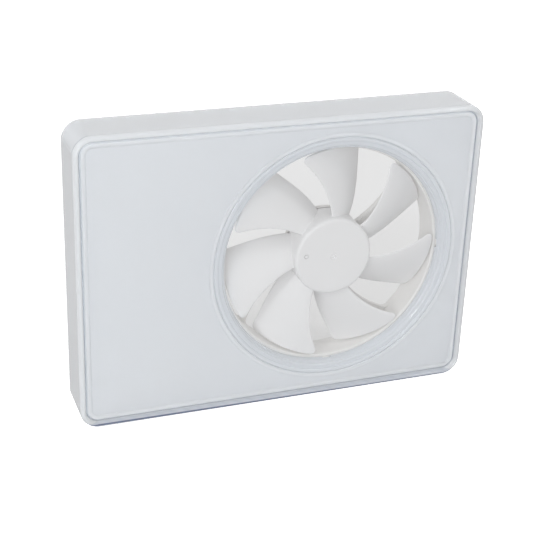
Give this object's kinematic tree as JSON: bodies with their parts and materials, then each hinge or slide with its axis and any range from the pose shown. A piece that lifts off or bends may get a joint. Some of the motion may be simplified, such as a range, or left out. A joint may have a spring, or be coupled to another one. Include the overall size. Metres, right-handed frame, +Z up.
{
  "type": "wall extract fan",
  "caption": "Flat rectangular wall extract fan: a clear cover over a white base, with a round duct and a bladed impeller set off centre, and control electronics beside it.",
  "frame": {"origin": "the point where the duct axis meets the wall plane", "axes": "+X to the right seen from the room, +Y into the wall along the duct axis, +Z up; the fan faces -Y"},
  "size_m": [0.217, 0.029, 0.158],
  "materials": {
    "clear_plastic": "clear, glossy",
    "white_plastic": "satin",
    "warm_white_plastic": "matte",
    "foam": "closed-cell foam",
    "rubber": "matte",
    "steel": "bright",
    "zinc": "zinc plated",
    "brass": "turned",
    "ferrite": "dull",
    "copper": "enamelled wire",
    "circuit_board": "solder mask",
    "black_plastic": "matte",
    "grey_plastic": "matte",
    "blue_ceramic": "epoxy coated",
    "yellow_tape": "tape wrapped"
  },
  "bodies": {
    "base": {"rear_base": "white_plastic", "wall_seal": "foam", "fan_frame": "warm_white_plastic", "frame_screw_1": "zinc", "frame_screw_2": "zinc", "frame_screw_3": "zinc", "frame_screw_4": "zinc", "bearing_rear": "steel", "bearing_front": "steel", "stator_core": "steel", "insulator_rear": "white_plastic", "insulator_front": "white_plastic", "coil_1": "copper", "coil_2": "copper", "coil_3": "copper", "coil_4": "copper", "coil_5": "copper", "coil_6": "copper", "motor_board": "circuit_board", "control_board": "circuit_board", "board_screw_1": "zinc", "board_screw_2": "zinc", "board_screw_3": "zinc", "terminal_block": "grey_plastic", "transformer": "yellow_tape", "capacitor_large": "black_plastic", "capacitor_small": "black_plastic", "varistor": "blue_ceramic", "control_chip": "black_plastic", "motor_plug": "white_plastic", "motor_lead": "rubber", "terminal_lid": "white_plastic", "lid_screw": "zinc", "cable_grommet": "rubber", "cable_clamp": "white_plastic", "clamp_screw_1": "zinc", "clamp_screw_2": "zinc"},
    "cover": {"front_cover": "clear_plastic", "decor_inlay": "white_plastic"},
    "rotor": {"impeller": "warm_white_plastic", "rotor_yoke": "steel", "magnet_ring": "ferrite", "shaft": "steel", "hub_bush": "brass", "shaft_clip": "steel"}
  },
  "joints": [
    {"name": "fan_spin", "type": "hinge", "parent": "base", "child": "rotor", "pos_m": [0, 0, 0], "axis": [0, -1, 0], "continuous": true},
    {"name": "cover_pull", "type": "slide", "parent": "base", "child": "cover", "axis": [0, -1, 0], "range_m": [0, 0.03]}
  ]
}
